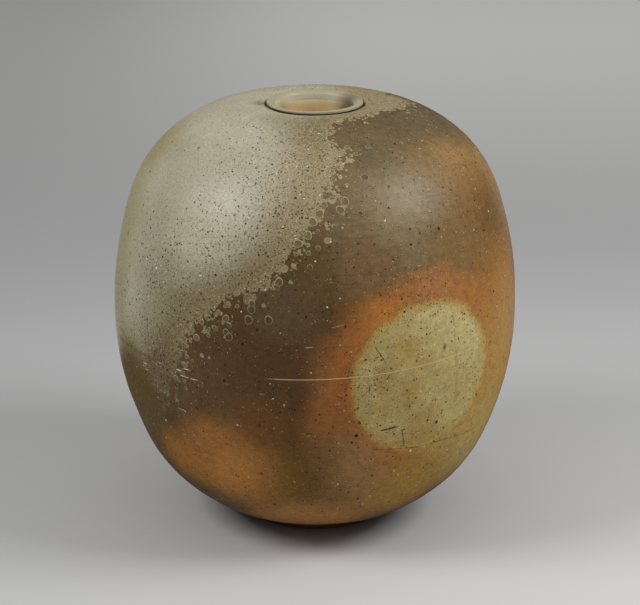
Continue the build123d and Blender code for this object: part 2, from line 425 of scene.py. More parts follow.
def lump(spot, radius, height, section, sides, wobble):
    """A low closed dome with a hand-made outline: vertices, faces and each vertex's share of the radius."""
    point, normal, level, up = wall_frame(*spot)
    phases = [drops_random.uniform(0, 2 * math.pi) for _ in range(2)]
    vertices, faces, shares = [], [], []
    for share, rise in section[:-1]:
        for i in range(sides):
            angle = 2 * math.pi * i / sides
            bulge = math.sin(2 * angle + phases[0]) + math.sin(3 * angle + phases[1])
            reach = radius * share * (1 + wobble * bulge)
            aside = level * math.cos(angle) + up * math.sin(angle)
            vertices.append(point + aside * reach + normal * height * rise)
            shares.append(share)
    for ring in range(len(section) - 2):
        for i in range(sides):
            j = (i + 1) % sides
            faces.append((ring * sides + i, ring * sides + j, (ring + 1) * sides + j, (ring + 1) * sides + i))
    vertices += [point + normal * height * section[-1][1], point + normal * height * section[0][1]]
    shares += [section[-1][0], section[0][0]]
    last = (len(section) - 2) * sides
    for i in range(sides):
        j = (i + 1) % sides
        faces.append((last + i, last + j, len(vertices) - 2))
        faces.append((j, i, len(vertices) - 1))
    return vertices, faces, shares


def join_lumps(lumps):
    """Many lumps as one list of vertices, one of faces and one of shares of the radius."""
    vertices, faces, shares = [], [], []
    for more_vertices, more_faces, more_shares in lumps:
        faces += [tuple(index + len(vertices) for index in face) for face in more_faces]
        vertices += more_vertices
        shares += more_shares
    return vertices, faces, shares


def node_spot(name):
    """Azimuth and height of a small solid on the wall, and half its size, from its box."""
    low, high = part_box(name)
    middle = (low + high) / 2 / MM
    return (math.degrees(math.atan2(middle.x, -middle.y)), middle.z), max(high - low) / 2 / MM


def scattered_drop():
    """A spot near the edge of the ash and a radius, smaller the further out it lies."""
    while True:
        spot = (drops_random.uniform(*scatter_azimuths), drops_random.uniform(*scatter_heights))
        gap = ash_gap(np.array(on_wall(*spot)))
        chance = math.exp(-abs(gap - scatter_crest) / scatter_fade)
        if scatter_inside < gap < scatter_outside and drops_random.random() < chance:
            return spot, drops_random.uniform(*small_radii) * (1 - max(gap, 0) / small_shrink)


drop_nodes = sorted(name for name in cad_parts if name.startswith("ash_drop"))
spots = [node_spot(name) for name in drop_nodes] + list(seen_drops)
spots += [scattered_drop() for _ in range(small_drops)]
drop_form = (drop_height, drop_section, drop_sides, drop_wobble)
drops = [lump(spot, radius, *drop_form) for spot, radius in spots]
vertices, faces, shares = join_lumps(drops)
ash_drops = add_piece("ash_drops_ringed", vertices, faces, "ash_glaze", *drop_nodes)
ring_share = ash_drops.data.attributes.new("ring_share", "FLOAT", "POINT")
ring_share.data.foreach_set("value", shares)
near_ash = ash_drops.data.attributes.new("near_ash", "FLOAT", "POINT")
near_ash.data.foreach_set("value", np.clip(1 - ash_gap(np.array(vertices)) / near_reach, 0, 1))
print(len(spots), "drops,", len(faces), "faces")

# %% [markdown]
# The clay is coarse. White grains of feldspar swell in the fire and stand out of the wall. They are few, so
# each is a small rough lump of its own, and they catch the light as the real ones do.

# %% Feldspar grains
grain_section = ((1.0, -0.6), (0.9, 0.2), (0.55, 0.8), (0.0, 1.0))
grain_rise, grain_sides, grain_wobble = 0.55, 7, 0.13
grain_count = 170
grain_heights = (25, 308)  # mm
grain_least, grain_more = 0.3, 0.45  # mm, the least radius and what the largest have beyond it
# the four that stand out, as azimuth and height, and radius
grain_spots = [((-50.7, 218.2), 1.5), ((-29.0, 214.0), 0.9), ((29.5, 90.5), 1.1), ((-22.0, 116.0), 0.8)]
for _ in range(grain_count):
    height = drops_random.uniform(*grain_heights)
    azimuth = drops_random.uniform(-180, 180)
    size = grain_least + grain_more * drops_random.random() ** 3
    grain_spots.append(((azimuth, height), size))
grain_form = (grain_section, grain_sides, grain_wobble)
grains = [lump(spot, size, size * grain_rise, *grain_form) for spot, size in grain_spots]
vertices, faces, _ = join_lumps(grains)
feldspar = add_piece("feldspar_grains", vertices, faces, "stoneware")
print(len(grain_spots), "grains,", len(faces), "faces")

# %% [markdown]
# Materials are node trees. One helper adds a node with its settings and links, and colours are written as
# the hex values one would read off a screen. All patterns are measured in millimetres on the jar itself, so
# they do not depend on how a mesh was unwrapped, and run on from one piece to the next.

# %% Helpers for materials
noise_span = {"From Min": 0.35, "From Max": 0.65}  # most values of a noise lie between these
dull_shine = 0.3  # specular level of fired clay and ash, which shine less than glass


def linear(text):
    """An sRGB hex colour as the linear colour that a shader takes."""
    channels = [int(text[i : i + 2], 16) / 255 for i in (1, 3, 5)]
    return [c / 12.92 if c <= 0.04045 else ((c + 0.055) / 1.055) ** 2.4 for c in channels] + [1.0]


def plug(tree, node, inputs):
    """Give sockets of a node, by name or number, another node, one of its outputs or a plain value."""
    for key, value in inputs.items():
        named = (socket for socket in node.inputs if socket.enabled and socket.name == key)
        socket = node.inputs[key] if isinstance(key, int) else next(named)
        if isinstance(value, bpy.types.Node):
            value = next(output for output in value.outputs if output.enabled)
        if isinstance(value, bpy.types.NodeSocket):
            tree.links.new(value, socket)
        else:
            socket.default_value = value


def add(tree, kind, inputs=None, **settings):
    """Add a shader node with its settings and plug in its inputs."""
    made = tree.nodes.new("ShaderNode" + kind)
    for name, value in settings.items():
        setattr(made, name, value)
    plug(tree, made, inputs or {})
    return made


def new_material(name):
    """A material, its node tree, its shader and the position on the jar in mm."""
    material = bpy.data.materials.new(name)
    material.use_nodes = True
    tree = material.node_tree
    coordinates = add(tree, "TexCoord")
    position = add(tree, "VectorMath", {0: coordinates.outputs["Object"], "Scale": 1 / MM}, operation="SCALE")
    return material, tree, tree.nodes["Principled BSDF"], position


def stirred(tree, place, size, reach, detail):
    """The place in mm, pushed about by noise of a size in mm, by up to about a quarter of the reach."""
    push = add(tree, "TexNoise", {"Vector": place, "Scale": 1 / size, "Detail": detail})
    push = add(tree, "VectorMath", {0: push.outputs["Color"], 1: (0.5, 0.5, 0.5)}, operation="SUBTRACT")
    return add(tree, "VectorMath", {0: push, 1: [reach] * 3, 2: place}, operation="MULTIPLY_ADD")


def patch(tree, place, middle, reach, soft, strength=1.0, tall=1.0):
    """strength inside a patch round a point in mm, fading to 0 across its soft edge."""
    if tall != 1.0:
        middle = Vector(middle) * Vector((1, 1, 1 / tall))
        place = add(tree, "VectorMath", {0: place, 1: (1, 1, 1 / tall)}, operation="MULTIPLY")
    distance = add(tree, "VectorMath", {0: place, 1: middle}, operation="DISTANCE")
    ramp = {"Value": distance, "From Min": reach + soft, "From Max": reach - soft, "To Max": strength}
    return add(tree, "MapRange", ramp, interpolation_type="SMOOTHSTEP")


print("patterns take their places in mm, and colours in sRGB hex")

# %% [markdown]
# Wood-fired stoneware, bare and matt where no ash fell. Iron in the clay turns dark brown where the fire was
# smoky and orange where air came in, in soft patches without an edge. They could be painted on an image, but
# a patch is only a place on the wall with a reach, a softness and a colour, so a short list holds them all.
# Slow noise pushes the patches out of round, as the flame did.

# %% Stoneware: clay and flame colours
flames = (
    # azimuth and height of the middle, reach, softness, stretch upwards, colour
    ((-14, 168), 42, 40, 1.0, "#533b19"),  # darkest smoke, beside the ash
    ((-4, 138), 30, 26, 1.2, "#56370f"),
    ((28, 266), 48, 45, 1.0, "#84714e"),  # grey-brown right of the ash
    ((8, 272), 18, 16, 1.0, "#6f5d3f"),
    ((-8, 208), 22, 18, 1.0, "#5f4a30"),
    ((72, 270), 42, 36, 1.3, "#ab8450"),  # orange right shoulder
    ((66, 238), 42, 34, 1.0, "#725024"),  # brown right side
    ((34, 151), 86, 15, 0.85, "#a4662b"),  # orange flush round the pale disc
    ((11, 148), 18, 16, 1.3, "#985a1d"),
    ((46, 236), 24, 20, 1.0, "#82633a"),
    ((16, 231), 18, 15, 1.0, "#7a5c3c"),
    ((34, 208), 26, 18, 0.6, "#a66f3d"),
    ((20, 194), 16, 12, 1.0, "#b4742f"),
    ((5, 118), 18, 15, 1.0, "#96602a"),
    ((66, 180), 42, 30, 1.0, "#a16e29"),  # tan right side
    ((66, 130), 46, 32, 1.0, "#a87e32"),
    ((57, 82), 38, 26, 1.0, "#aa8f4f"),  # olive-yellow low right
    ((40, 87), 16, 12, 1.0, "#a38b4f"),
    ((30, 56), 34, 20, 1.0, "#9f7a36"),
    ((10, 82), 25, 20, 1.0, "#a0774a"),
    ((-6, 76), 30, 28, 1.0, "#714e17"),  # brown front of the base
    ((-14, 120), 18, 14, 1.0, "#6c4517"),
    ((-28, 74), 33, 24, 1.0, "#b17837"),  # orange low left
    ((-33, 104), 20, 18, 0.8, "#9d682f"),
    ((-46, 72), 22, 18, 1.0, "#9e6724"),
    ((-4, 22), 42, 16, 1.0, "#a3723d"),  # orange edge of the base
    ((-63, 106), 24, 20, 1.0, "#5e4b22"),  # smoky low left
    ((58, 313), 30, 26, 1.0, "#5f5032"),  # olive by the mouth
    ((82, 306), 28, 22, 1.0, "#63553a"),
    ((22, 303), 22, 18, 1.0, "#635435"),
    ((118, 110), 80, 50, 1.0, "#9a6f34"),  # the sides that do not show from the front
    ((165, 210), 70, 50, 1.0, "#5f4826"),
    ((-150, 60), 60, 40, 1.0, "#8a5e2c"),
)
flame_size, flame_push = 45.0, 26.0  # mm, size of the slow noise and how far it pushes

fired, tree, fired_shader, position = new_material("wood_fired_stoneware")
swept = stirred(tree, position, flame_size, flame_push, detail=3.0)
slow = add(tree, "TexNoise", {"Vector": position, "Scale": 1 / flame_size, "Detail": 4.0})
slow = add(tree, "MapRange", {"Value": slow, **noise_span})
clay = add(tree, "Mix", {"Factor": slow, "A": linear("#573f1d"), "B": linear("#664c2a")}, data_type="RGBA")
for spot, reach, soft, tall, colour in flames:
    mask = patch(tree, swept, on_wall(*spot), reach, soft, tall=tall)
    clay = add(tree, "Mix", {"Factor": mask, "A": clay, "B": linear(colour)}, data_type="RGBA")
print(len(flames), "patches of flame colour")

# %% [markdown]
# The pale disc is where a wad or a small pot stood against the wall in the kiln and kept the flame off. Its
# edge is soft, with a thin yellow rim against the orange flush, and it keeps a few stains of its own. It is a
# patch like the others, a little wider than tall, with its stains laid in afterwards. Small clouds over disc
# and clay keep both from looking painted.

# %% Stoneware: the pale disc
disc_spot, disc_reach, disc_soft, disc_tall = (32.5, 147.5), 59.2, 3.5, 0.97
rim_width = 4.5  # mm
smear_size = 20.0  # mm
cloud_size, cloud_depth = 5.0, 0.16  # mm, and how much a cloud darkens and lightens
disc_stains = (
    # azimuth and height, reach, softness, stretch upwards, colour, strength
    ((46, 178), 22, 18, 1.0, "#c0b079", 0.8),
    ((36, 192), 14, 12, 0.8, "#c2b07a", 0.7),
    ((25.5, 174), 8, 7, 1.0, "#a68440", 0.7),
    ((29.5, 161), 7, 7, 0.8, "#a88645", 0.6),
    ((19.5, 156), 7, 8, 1.6, "#9a7a3a", 0.75),
    ((24, 140), 18, 14, 1.2, "#a78a4b", 0.35),
    ((44, 138), 22, 16, 1.0, "#a8955a", 0.5),
    ((26.5, 136), 6, 7, 2.4, "#9d7e3c", 0.8),
    ((32, 118), 13, 9, 0.7, "#9f8246", 0.7),
    ((31, 96), 26, 12, 0.6, "#a08345", 0.8),
    ((37.3, 168.7), 1.7, 1.2, 1.7, "#5f4c22", 0.75),
)
rippled = stirred(tree, position, size=16.0, reach=7.0, detail=2.0)
disc_middle = on_wall(*disc_spot)
disc = patch(tree, rippled, disc_middle, disc_reach, disc_soft, tall=disc_tall)
heart = patch(tree, rippled, disc_middle, disc_reach - rim_width, rim_width, tall=disc_tall)
smear = add(tree, "TexNoise", {"Vector": position, "Scale": 1 / smear_size, "Detail": 5.0, "Roughness": 0.6})
smear = add(tree, "MapRange", {"Value": smear, "From Min": 0.4, "From Max": 0.65})
pale = add(tree, "Mix", {"Factor": smear, "A": linear("#b9a76d"), "B": linear("#ad985b")}, data_type="RGBA")
for spot, reach, soft, tall, colour, strength in disc_stains:
    mask = patch(tree, rippled, on_wall(*spot), reach, soft, strength, tall)
    pale = add(tree, "Mix", {"Factor": mask, "A": pale, "B": linear(colour)}, data_type="RGBA")
pale = add(tree, "Mix", {"Factor": heart, "A": linear("#b0934c"), "B": pale}, data_type="RGBA")
surface = add(tree, "Mix", {"Factor": disc, "A": clay, "B": pale}, data_type="RGBA")
cloudy = {"Vector": position, "Scale": 1 / cloud_size, "Detail": 5.0, "Roughness": 0.65}
cloudy = add(tree, "TexNoise", cloudy)
cloudy = {"Value": cloudy, **noise_span, "To Min": 1 - cloud_depth, "To Max": 1 + cloud_depth}
cloudy = add(tree, "MapRange", cloudy)
surface = add(tree, "HueSaturation", {"Value": cloudy, "Color": surface})
print(f"disc {2 * disc_reach:.0f} mm across with {len(disc_stains)} stains")

# %% [markdown]
# The edge of the ash is lace: at the rim of the melt the drops still show as rings, run together, with dark
# clay between them and a pale line round each. Every layer of a Voronoi pattern gives drops, one in each cell
# whose middle lies near enough to the ash. Each drop and the melt itself tell how far a place lies outside
# them, and the smallest of these distances is the distance to the whole. A pale line is the band just inside
# zero.

# %% Stoneware: the lacy edge of the ash
drop_layers = (  # mm: spacing, largest radius, furthest out
    (6.6, 4.6, 9.0),
    (4.6, 3.2, 12.0),
    (3.2, 2.2, 14.0),
)
drop_rarity = 4.0  # the higher, the fewer of them lie far out
drop_inset = 3.5  # all drops with their middle this far inside the edge are there
melt_inset = 6.0  # the closed melt begins here
ragged_size, ragged_reach = 9.0, 7.0  # mm, the melt's own edge goes in and out by the second of these
edge_outer, edge_inner = 0.1, -0.3  # mm outside a drop at which it begins and is full
rim_line, rim_fade = 0.8, 0.5  # mm, width of the pale line and of its soft inner side
lace_depth, lace_fade = 8.0, 8.0  # rings still show this far inside the edge, and fade over the second
faded_spot, faded_reach, faded_soft = (-58, 138), 48, 18  # low on the left the pale lines fade out
gone_spot, gone_reach, gone_soft = (-66, 100), 46, 14  # and so does the ash itself
bays = (  # azimuth and height, reach, softness, how far the edge moves out there
    ((95, 311), 30, 25, 18.0),
    ((18, 313), 18, 16, -16.0),
    ((-13, 222), 18, 13, 6.0),
)


def ash_edge(tree, place):
    """The shader's own version of ash_gap: mm outside the edge of the ash at a place."""
    away = add(tree, "VectorMath", {0: place, 1: ash_centre}, operation="DISTANCE")
    height = add(tree, "SeparateXYZ", {0: place}).outputs["Z"]
    turn_over = {"From Min": ash_swing_crest, "From Max": ash_swing_crest + ash_swing_length}
    phase = add(tree, "MapRange", {"Value": height, **turn_over, "To Max": 2 * math.pi}, clamp=False)
    swing = add(tree, "Math", {0: phase}, operation="COSINE")
    reach = add(tree, "Math", {0: swing, 1: ash_swing, 2: ash_reach}, operation="MULTIPLY_ADD")
    gap = add(tree, "Math", {0: away, 1: reach}, operation="SUBTRACT")
    for spot, bay_reach, soft, outward in bays:
        bay = patch(tree, place, on_wall(*spot), bay_reach, soft, outward)
        gap = add(tree, "Math", {0: gap, 1: bay}, operation="SUBTRACT")
    return gap


def fallen_drops(tree, place, spacing, radius, furthest):
    """mm outside drops of a third to all of a radius, rarer up to the furthest mm beyond the ash."""
    cells = add(tree, "TexVoronoi", {"Vector": place, "Scale": 1 / spacing})
    chance = add(tree, "SeparateColor", {"Color": cells.outputs["Color"]})
    rare = add(tree, "Math", {0: chance.outputs["Red"], 1: drop_rarity}, operation="POWER")
    limit = add(tree, "Math", {0: rare, 1: furthest, 2: -drop_inset}, operation="MULTIPLY_ADD")
    beyond = ash_edge(tree, cells.outputs["Position"])
    landed = add(tree, "Math", {0: beyond, 1: limit}, operation="LESS_THAN")
    size = add(tree, "MapRange", {"Value": chance.outputs["Green"], "To Min": radius / 3, "To Max": radius})
    size = add(tree, "Math", {0: size, 1: landed}, operation="MULTIPLY")
    away = add(tree, "Math", {0: cells.outputs["Distance"], 1: spacing}, operation="MULTIPLY")
    return add(tree, "Math", {0: away, 1: size}, operation="SUBTRACT")


def covered_and_line(tree, distance):
    """1 where a distance is negative, and 1 on the line just inside its zero."""
    covered = add(tree, "MapRange", {"Value": distance, "From Min": edge_outer, "From Max": edge_inner})
    outer = {"Value": distance, "From Min": -rim_line - rim_fade, "From Max": -rim_line}
    outer = add(tree, "MapRange", outer)
    return covered, add(tree, "Math", {0: covered, 1: outer}, operation="MULTIPLY")


gap = ash_edge(tree, position)
ragged = {"Vector": position, "Scale": 1 / ragged_size, "Detail": 4.0, "Roughness": 0.6}
ragged = add(tree, "TexNoise", ragged)
inset = {"To Min": melt_inset - ragged_reach, "To Max": melt_inset + ragged_reach}
ragged = add(tree, "MapRange", {"Value": ragged, **inset})
outside = add(tree, "Math", {0: gap, 1: ragged}, operation="ADD")
wavy = stirred(tree, position, size=4.0, reach=2.0, detail=1.0)
rings = None
for spacing, radius, furthest in drop_layers:
    drops_gap = fallen_drops(tree, wavy, spacing, radius, furthest)
    outside = add(tree, "Math", {0: outside, 1: drops_gap}, operation="MINIMUM")
    line = covered_and_line(tree, drops_gap)[1]
    rings = add(tree, "Math", {0: rings, 1: line}, operation="MAXIMUM") if rings else line
cover, rim = covered_and_line(tree, outside)
lace = add(tree, "MapRange", {"Value": gap, "From Min": -lace_depth - lace_fade, "From Max": -lace_depth})
rings = add(tree, "Math", {0: rings, 1: lace}, operation="MULTIPLY")
rim = add(tree, "Math", {0: rim, 1: rings}, operation="MAXIMUM")
faded = patch(tree, position, on_wall(*faded_spot), faded_reach, faded_soft, strength=-1.0)
sharp = add(tree, "Math", {0: faded, 1: 1.0}, operation="ADD")
rim = add(tree, "Math", {0: rim, 1: sharp}, operation="MULTIPLY")
gone = patch(tree, position, on_wall(*gone_spot), gone_reach, gone_soft, strength=-1.0)
gone = add(tree, "Math", {0: gone, 1: 1.0}, operation="ADD")
cover = add(tree, "Math", {0: cover, 1: gone}, operation="MULTIPLY")
print(len(drop_layers), "layers of drops along the edge")

# %% [markdown]
# Natural ash glaze, satin. Thick ash is a pale warm grey. Towards its edge it thins to a tan film that looks
# like fine sugar, and low on the left, where little fell, it is olive. Distance from the edge gives the
# thickness, and a few patches give the rest: two are painted shade by the groove round the mouth, and the
# palest is partly a painted highlight. At the end fine grit darkens and lightens clay, disc and ash.

# %% Stoneware: ash colours
ash_tints = (
    # azimuth and height, reach, softness, colour, strength
    ((-80, 235), 30, 24, "#978d60", 0.85),  # olive left side
    ((-86, 285), 28, 22, "#9a8e60", 0.75),
    ((-75, 190), 26, 22, "#91875f", 0.8),
    ((-38, 198), 30, 26, "#70623c", 0.75),  # thin low ash
    ((-22, 218), 30, 22, "#75623d", 0.7),
    ((-27, 186), 14, 11, "#6a5634", 0.6),
    ((-46, 216), 38, 22, "#8a8060", 0.35),
    ((-52, 166), 20, 18, "#8d8366", 0.8),
    ((-66, 146), 20, 16, "#7c7044", 0.8),
    ((-58, 122), 26, 16, "#625027", 0.95),  # where it fades out
    ((-44, 148), 24, 14, "#625033", 0.95),
    ((-40, 171), 14, 12, "#6c5d38", 0.8),
    ((2, 313), 28, 18, "#7a6c4a", 0.85),  # tan before the mouth
    ((36, 314), 16, 12, "#80724d", 0.8),
    # painted shade in front of the groove, front left of the mouth
    ((-30, 315.5), 14, 10, "#8f8669", 0.6),
    ((-92, 316), 6, 5, "#5f5838", 0.85),  # painted shade of the groove, left of the mouth
    ((-32, 250), 26, 26, "#c4bca2", 0.8),  # palest, partly a painted highlight
)
deep_from, deep_to = -6.0, -40.0  # the ash is thin at the first of these depths and thick at the second
sugar_size, mottle_size, grit_size = 0.9, 2.6, 1.6  # mm
mottle_least, mottle_most = 0.7, 1.2  # how unevenly a tint lies in the ash
rim_strength = 0.45  # how much of the pale line shows
clay_grit, disc_grit, ash_grit = 0.1, 0.2, 0.23  # how much the grit darkens and lightens each of them

grain = add(tree, "TexNoise", {"Vector": position, "Scale": 1 / sugar_size, "Detail": 3.0, "Roughness": 0.6})
grain = add(tree, "MapRange", {"Value": grain, "From Min": 0.36, "From Max": 0.64})
thin = add(tree, "Mix", {"Factor": grain, "A": linear("#817250"), "B": linear("#a19371")}, data_type="RGBA")
thick = add(tree, "Mix", {"Factor": slow, "A": linear("#a49d86"), "B": linear("#b0a993")}, data_type="RGBA")
depth = add(tree, "Math", {0: gap, 1: ragged}, operation="ADD")
depth = {"Value": depth, "From Min": deep_from, "From Max": deep_to}
depth = add(tree, "MapRange", depth, interpolation_type="SMOOTHSTEP")
ash = add(tree, "Mix", {"Factor": depth, "A": thin, "B": thick}, data_type="RGBA")
mottled = add(tree, "TexNoise", {"Vector": position, "Scale": 1 / mottle_size, "Detail": 3.0})
mottled = {"Value": mottled, **noise_span, "To Min": mottle_least, "To Max": mottle_most}
mottled = add(tree, "MapRange", mottled)
for spot, reach, soft, colour, strength in ash_tints:
    mask = patch(tree, swept, on_wall(*spot), reach, soft, strength)
    mask = add(tree, "Math", {0: mask, 1: mottled}, operation="MULTIPLY")
    ash = add(tree, "Mix", {"Factor": mask, "A": ash, "B": linear(colour)}, data_type="RGBA")
rim_share = add(tree, "Math", {0: rim, 1: rim_strength}, operation="MULTIPLY")
ash = add(tree, "Mix", {"Factor": rim_share, "A": ash, "B": linear("#a3936f")}, data_type="RGBA")
surface = add(tree, "Mix", {"Factor": cover, "A": surface, "B": ash}, data_type="RGBA")
grit = add(tree, "TexNoise", {"Vector": position, "Scale": 1 / grit_size, "Detail": 3.0, "Roughness": 0.7})
grit = add(tree, "MapRange", {"Value": grit, "From Min": 0.3, "From Max": 0.7, "To Min": -1.0})
gritty = add(tree, "Mix", {"Factor": disc, "A": clay_grit, "B": disc_grit}, data_type="FLOAT")
gritty = add(tree, "Mix", {"Factor": cover, "A": gritty, "B": ash_grit}, data_type="FLOAT")
gritty = add(tree, "Math", {0: grit, 1: gritty, 2: 1.0}, operation="MULTIPLY_ADD")
surface = add(tree, "HueSaturation", {"Value": gritty, "Color": surface})
print(len(ash_tints), "tints in the ash")

# %% [markdown]
# Iron in the clay burns out as black specks, closer together under the thin ash and along the rim of the
# disc. Feldspar shows as pale dots. A layer of specks is again a Voronoi pattern: in a share of the cells,
# the middle of the cell is a speck of its own size. The finest real ones are smaller than a pixel, so they
# are drawn half a millimetre wide or more, to show.

# %% Stoneware: iron specks and pale dots
faintest = 0.35  # strength of the faintest specks
rare_depth, dense_depth = -88.0, -28.0  # mm from the edge of the ash, where specks are rare and dense
rare_share, clay_share = 0.06, 0.32  # of the cells, deep in the ash and on bare clay
clump_size, clump_least, clump_most = 14.0, 0.4, 1.3  # mm, and how unevenly the specks are spread
disc_calm, disc_rim_more = 0.85, 0.45  # the disc has fewer of them, and its rim has more
middle_most = 0.35  # share of the cells with a middling speck
coarse_in_ash, coarse_on_disc = 0.4, 0.15  # share of the cells with a coarse speck
crowds = (
    # azimuth and height, reach, softness and how many more specks there
    ((14, 152), 17, 9, 0.5),
    ((35, 200), 10, 7, 0.5),
    ((44, 180), 8, 7, 0.35),
    ((49, 150), 9, 8, 0.3),
    ((28, 214), 24, 12, 0.3),
    ((-34, 250), 12, 10, 0.35),
    ((-52, 230), 22, 16, 0.35),
    ((-12, 262), 14, 12, 0.3),
)


def specks(tree, place, spacing, size, share):
    """Strength on specks of half to all of a size, a radius in mm, in a share of cells spacing mm apart."""
    cells = add(tree, "TexVoronoi", {"Vector": place, "Scale": 1 / spacing})
    chance = add(tree, "SeparateColor", {"Color": cells.outputs["Color"]})
    chosen = add(tree, "Math", {0: chance.outputs["Red"], 1: share}, operation="LESS_THAN")
    sizes = {"To Min": 0.5 * size / spacing, "To Max": size / spacing}
    limit = add(tree, "MapRange", {"Value": chance.outputs["Green"], **sizes})
    limit = add(tree, "Math", {0: limit, 1: chosen}, operation="MULTIPLY")
    on_speck = add(tree, "Math", {0: cells.outputs["Distance"], 1: limit}, operation="LESS_THAN")
    strength = add(tree, "MapRange", {"Value": chance.outputs["Blue"], "To Min": faintest})
    return add(tree, "Math", {0: on_speck, 1: strength}, operation="MULTIPLY")


trembled = stirred(tree, position, size=2.0, reach=1.2, detail=1.0)
thin_ash = {"Value": gap, "From Min": rare_depth, "From Max": dense_depth, "To Min": rare_share}
thin_ash = add(tree, "MapRange", thin_ash)
fine_share = add(tree, "Mix", {"Factor": cover, "A": clay_share, "B": thin_ash}, data_type="FLOAT")
clumps = add(tree, "TexNoise", {"Vector": position, "Scale": 1 / clump_size, "Detail": 2.0})
clumps = {"Value": clumps, **noise_span, "To Min": clump_least, "To Max": clump_most}
clumps = add(tree, "MapRange", clumps)
fine_share = add(tree, "Math", {0: fine_share, 1: clumps}, operation="MULTIPLY")
calm = add(tree, "MapRange", {"Value": heart, "To Min": 1.0, "To Max": disc_calm})
fine_share = add(tree, "Math", {0: fine_share, 1: calm}, operation="MULTIPLY")
disc_rim = add(tree, "Math", {0: disc, 1: heart}, operation="SUBTRACT")
fine_share = add(tree, "Math", {0: disc_rim, 1: disc_rim_more, 2: fine_share}, operation="MULTIPLY_ADD")
crowded = 0.0
for spot, reach, soft, more in crowds:
    crowd = patch(tree, rippled, on_wall(*spot), reach, soft, more)
    crowded = add(tree, "Math", {0: crowded, 1: crowd}, operation="MAXIMUM")
fine_share = add(tree, "Math", {0: fine_share, 1: crowded}, operation="ADD")
middle_share = add(tree, "Math", {0: calm, 1: middle_most}, operation="MULTIPLY")
coarse_share = add(tree, "Math", {0: thin_ash, 1: cover}, operation="MULTIPLY")
coarse_share = {0: coarse_share, 1: coarse_in_ash, 2: crowded}
coarse_share = add(tree, "Math", coarse_share, operation="MULTIPLY_ADD")
coarse_share = {0: heart, 1: coarse_on_disc, 2: coarse_share}
coarse_share = add(tree, "Math", coarse_share, operation="MULTIPLY_ADD")
largest = specks(tree, trembled, spacing=14.0, size=1.5, share=0.35)
iron = largest
iron_layers = (  # spacing and size in mm, share of the cells
    (1.45, 0.45, fine_share),
    (3.0, 0.75, fine_share),
    (2.3, 0.8, coarse_share),
    (5.0, 0.95, middle_share),
)
for spacing, size, share in iron_layers:
    more = specks(tree, trembled, spacing, size, share)
    iron = add(tree, "Math", {0: iron, 1: more}, operation="MAXIMUM")
dots = specks(tree, trembled, spacing=1.8, size=0.5, share=fine_share)
white = specks(tree, trembled, spacing=8.0, size=0.7, share=0.4)
pale_grit = specks(tree, trembled, spacing=2.7, size=0.6, share=coarse_share)
speck_colours = (  # specks, strength and colour
    (dots, 0.5, "#d0c49e"),
    (pale_grit, 0.7, "#e6decb"),
    (iron, 1.0, "#140e07"),
    (white, 1.0, "#e6decb"),
)
for mask, strength, colour in speck_colours:
    share = add(tree, "Math", {0: mask, 1: strength}, operation="MULTIPLY")
    surface = add(tree, "Mix", {"Factor": share, "A": surface, "B": linear(colour)}, data_type="RGBA")
print(1 + len(iron_layers), "layers of iron specks, three of pale dots")

# %% [markdown]
# A pot that has been stacked, fired and handled keeps its marks: fine cracks and burnt fibres in and round
# the disc, pale scrapes on the left and one long scratch across the front. A mark is a stroke from one place
# on the wall to another. It covers the places from which the way to both its ends, added up, is hardly longer
# than the stroke. The scratch is the line where a plane cuts the wall, so it bends round the belly.

# %% Stoneware: cracks, scrapes and the long scratch
# the dark of the cracks, also the colour of the painted shade in the tool's low lines
crack_and_shade_dark = "#21180d"
dark_cracks = (
    # from and to, each as azimuth and height, then width in mm and strength
    ((18.6, 112.6), (24.2, 114.1), 1.8, 0.95),
    ((25.2, 112.0), (27.0, 95.1), 1.5, 0.65),
    ((15.8, 97.5), (32.5, 92.5), 1.0, 0.75),
    ((36.7, 93.4), (58.8, 89.3), 1.0, 0.7),
    ((16.1, 178.3), (19.5, 164.2), 0.75, 1.0),
    ((14.8, 151.0), (14.8, 142.4), 0.9, 1.0),
    ((13.6, 54.6), (15.7, 54.4), 1.1, 0.8),
    ((-8.8, 69.3), (24.1, 68.8), 0.5, 0.4),
)
brown_streaks = (
    ((40.8, 193.0), (41.3, 168.0), 2.0, 0.5),
    ((41.3, 168.0), (43.5, 117.0), 2.2, 0.4),
)
olive_furrows = (
    ((-44.3, 254.5), (-31.0, 257.6), 0.7, 0.5),
    ((-74.0, 149.6), (-50.0, 151.2), 2.8, 0.5),
    ((-72.0, 158.0), (-56.0, 150.0), 2.4, 0.45),
)
pale_scrapes = (
    ((-49.2, 150.3), (-46.4, 150.3), 0.65, 0.95),
    ((-41.1, 149.9), (-39.2, 149.7), 0.75, 0.95),
    ((-39.8, 146.1), (-36.6, 145.7), 0.65, 0.95),
    ((-38.7, 152.0), (-36.2, 152.0), 0.65, 0.95),
    ((-36.1, 145.7), (-33.5, 145.7), 0.75, 0.95),
    ((-56.2, 144.5), (-53.8, 144.3), 0.65, 0.95),
    ((-55.6, 139.9), (-52.8, 140.1), 0.65, 0.95),
    ((-42.5, 118.3), (-39.0, 118.1), 0.8, 0.4),
    ((4.3, 193.0), (8.0, 194.8), 0.8, 0.35),
    ((-2.7, 179.2), (-0.2, 179.3), 0.8, 0.5),
    ((-15.0, 142.8), (-13.4, 143.2), 0.8, 0.35),
)
mark_kinds = (
    (dark_cracks, crack_and_shade_dark),
    (brown_streaks, "#8a6f3a"),
    (olive_furrows, "#4b4122"),
    (pale_scrapes, "#e4dcc4"),
)
stroke_span = 18.0  # mm, longest straight piece of a mark
stroke_outer, stroke_inner = 1.4, 0.6  # shares of its width at which it begins and is full
broken_size = 1.8  # mm, the marks are broken up at this size
scratch_normal, scratch_offset = Vector((-0.0247, -0.0629, 0.9977)), 164.78  # the plane, mm from the base
scratch_from, scratch_to = -36.0, 124.0  # mm across the front
scratch_begin, scratch_end = 12.0, 30.0  # mm over which it comes up and dies out
scratch_outer, scratch_inner = 0.5, 0.15  # mm from its middle at which it begins and is full
scratch_pale, scratch_strength = "#d6b584", 0.9


